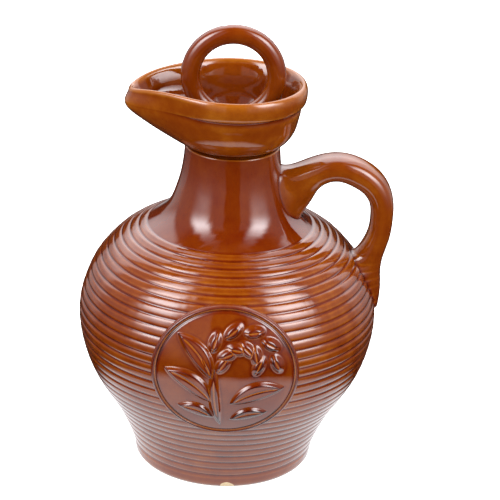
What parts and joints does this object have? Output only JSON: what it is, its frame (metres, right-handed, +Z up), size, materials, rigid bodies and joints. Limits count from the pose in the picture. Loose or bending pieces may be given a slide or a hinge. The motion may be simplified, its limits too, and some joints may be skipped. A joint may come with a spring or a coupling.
{
  "type": "ceramic wine jug",
  "caption": "Reeded ceramic jug on a low foot, with a spouted bowl mouth, strap handle, round relief panel and a lift-out ring stopper.",
  "frame": {"origin": "centre of the foot's standing face", "axes": "+Z up along the neck, -X towards the spout, +X towards the handle, -Y towards the relief panel"},
  "size_m": [0.1391, 0.1356, 0.205],
  "materials": {
    "glaze": "glossy caramel-brown glaze on stoneware, darker in the grooves and lighter on the edges",
    "silicone": "satin translucent white silicone"
  },
  "bodies": {
    "jug": {"jug_belly": "glaze", "jug_neck": "glaze", "pouring_bowl": "glaze", "handle": "glaze", "medallion_panel": "glaze", "medallion_motif": "glaze"},
    "seal": {"seal_ring_lower": "silicone", "seal_ring_upper": "silicone"},
    "stopper": {"stopper_plug": "glaze", "stopper_ring": "glaze"}
  },
  "joints": [
    {"name": "stopper_lift", "type": "slide", "parent": "jug", "child": "seal", "axis": [0, 0, 1], "range_m": [0, 0.075]},
    {"name": "stopper_twist", "type": "hinge", "parent": "seal", "child": "stopper", "pos_m": [0, 0, 0.15], "axis": [0, 0, 1], "continuous": true}
  ]
}
